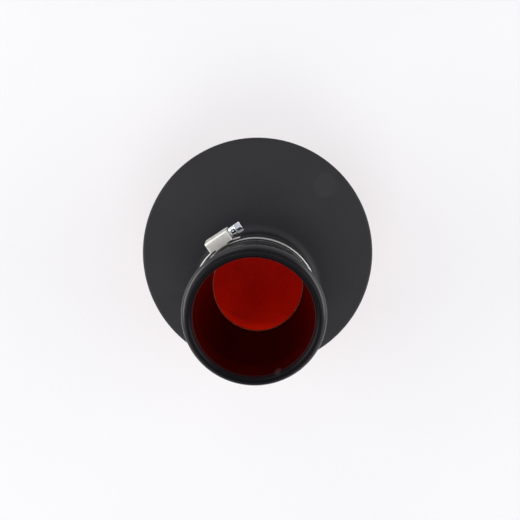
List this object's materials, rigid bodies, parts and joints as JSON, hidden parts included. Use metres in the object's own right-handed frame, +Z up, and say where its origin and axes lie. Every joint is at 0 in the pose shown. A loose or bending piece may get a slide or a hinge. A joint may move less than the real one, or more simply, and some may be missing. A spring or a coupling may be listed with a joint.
{
  "type": "air filter",
  "caption": "Pod air filter: tapered, layered foam element under a round rubber plate with an off-centre tilted rubber neck and a worm-drive hose clamp.",
  "frame": {"origin": "centre of the foam element's closed end face, which the filter stands on", "axes": "+Z up through the base plate towards the neck, -Y the way the neck leans, X across the neck"},
  "size_m": [0.165, 0.1712, 0.2136],
  "materials": {
    "rubber": "matte moulded, gloss inside the neck",
    "outer_foam": "coarse open-cell foam, matte",
    "inner_foam": "fine open-cell foam, matte",
    "glue": "dried contact glue, satin",
    "band_steel": "rolled stainless strip, satin",
    "housing_steel": "pressed stainless, satin",
    "screw_zinc": "bright zinc plated"
  },
  "bodies": {
    "filter": {"rubber_base": "rubber", "foam_outer_sleeve": "outer_foam", "foam_inner_sleeve": "inner_foam", "foam_outer_end": "outer_foam", "foam_inner_end": "inner_foam", "plate_glue": "glue", "end_glue": "glue", "outer_seam_glue": "glue", "inner_seam_glue": "glue"},
    "clamp": {"clamp_band": "band_steel", "clamp_saddle": "housing_steel", "clamp_housing": "housing_steel"},
    "screw": {"clamp_screw": "screw_zinc"}
  },
  "joints": [
    {"name": "clamp_turn", "type": "hinge", "parent": "filter", "child": "clamp", "pos_m": [0, -0.03048, 0.14509], "axis": [0, -0.225, 0.9744], "continuous": true},
    {"name": "screw_turn", "type": "hinge", "parent": "clamp", "child": "screw", "pos_m": [-0.02615, 0.00801, 0.15397], "axis": [0.8339, 0.5378, 0.1242], "continuous": true}
  ]
}
